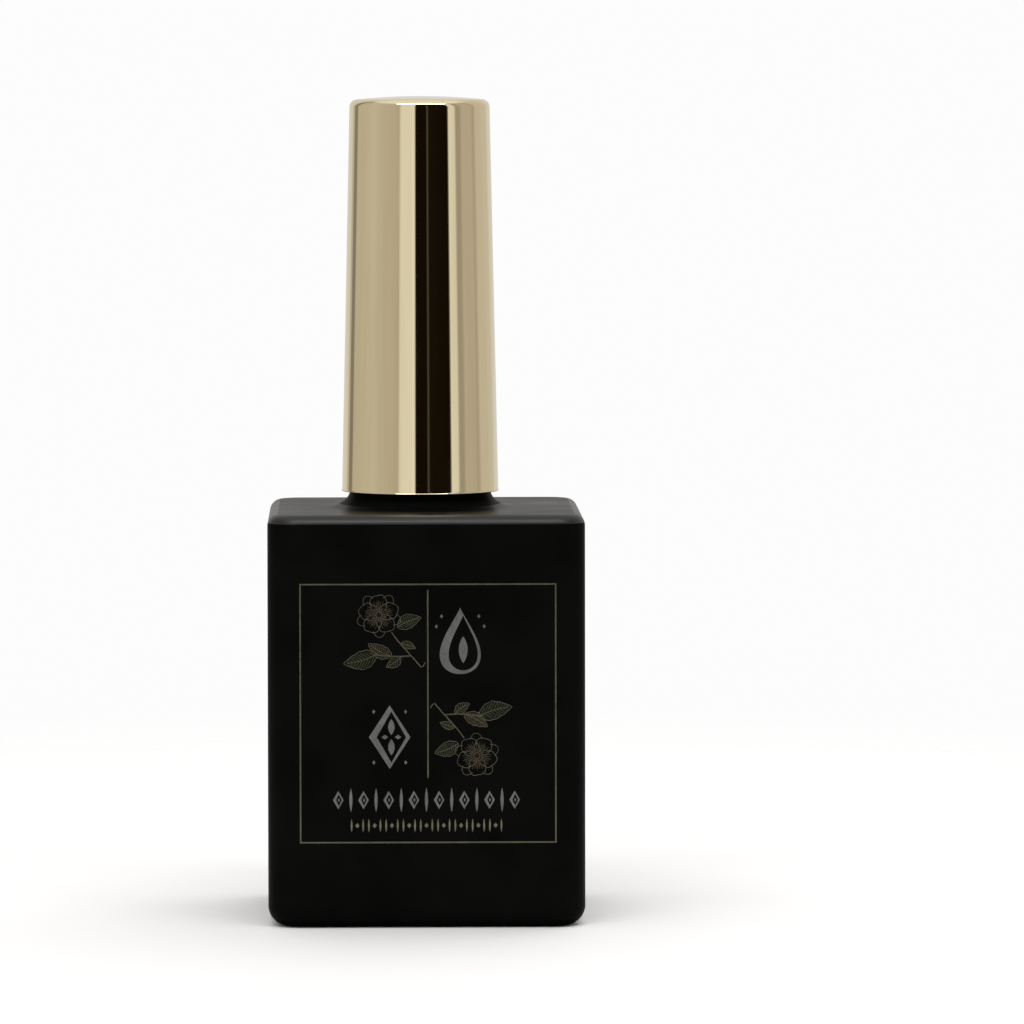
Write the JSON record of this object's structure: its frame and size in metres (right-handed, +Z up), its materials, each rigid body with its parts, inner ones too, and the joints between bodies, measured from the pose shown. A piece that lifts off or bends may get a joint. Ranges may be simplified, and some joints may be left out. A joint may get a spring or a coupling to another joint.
{
  "type": "nail polish bottle",
  "caption": "Rounded square coated-glass bottle with a threaded neck and a tall tapered metal screw cap that carries a brush rod and bristles.",
  "frame": {"origin": "centre of the flat base, 0.45 mm to the right of the neck's axis", "axes": "+Z up, parallel to the neck's axis, -Y towards the decorated front face, +X to the right of someone looking at the front"},
  "size_m": [0.03, 0.028, 0.0783],
  "materials": {
    "coated_glass": "matte black lacquer over glass",
    "gel": "glossy liquid gel",
    "ball_steel": "polished",
    "gold_shell": "mirror-polished pale gold anodising",
    "cap_plastic": "moulded polypropylene",
    "liner_foam": "foamed polyethylene",
    "stem_plastic": "moulded polyethylene",
    "bristles": "nylon filaments",
    "staple_brass": "drawn flat wire"
  },
  "bodies": {
    "bottle": {"glass_bottle": "coated_glass", "gel_polish": "gel", "mixing_ball_1": "ball_steel", "mixing_ball_2": "ball_steel"},
    "liner": {"cap_liner": "liner_foam"},
    "brush_rod": {"brush_stem": "stem_plastic"},
    "cap": {"overcap": "gold_shell", "inner_cap": "cap_plastic", "bristle_tuft": "bristles", "tuft_staple": "staple_brass"}
  },
  "joints": [
    {"name": "cap_lift", "type": "slide", "parent": "bottle", "child": "liner", "axis": [0, 0, 1], "range_m": [0, 0.062]},
    {"name": "thread_rise", "type": "slide", "parent": "liner", "child": "brush_rod", "axis": [0, 0, 1], "range_m": [0, 0.00329]},
    {"name": "cap_turn", "type": "hinge", "parent": "brush_rod", "child": "cap", "pos_m": [-0.00045, 0, 0.0405], "axis": [0, 0, 1], "range_deg": [0, 560]}
  ],
  "couplings": [
    {"joint": "cap_turn", "follows": "thread_rise", "rad_per_m": 2968}
  ]
}
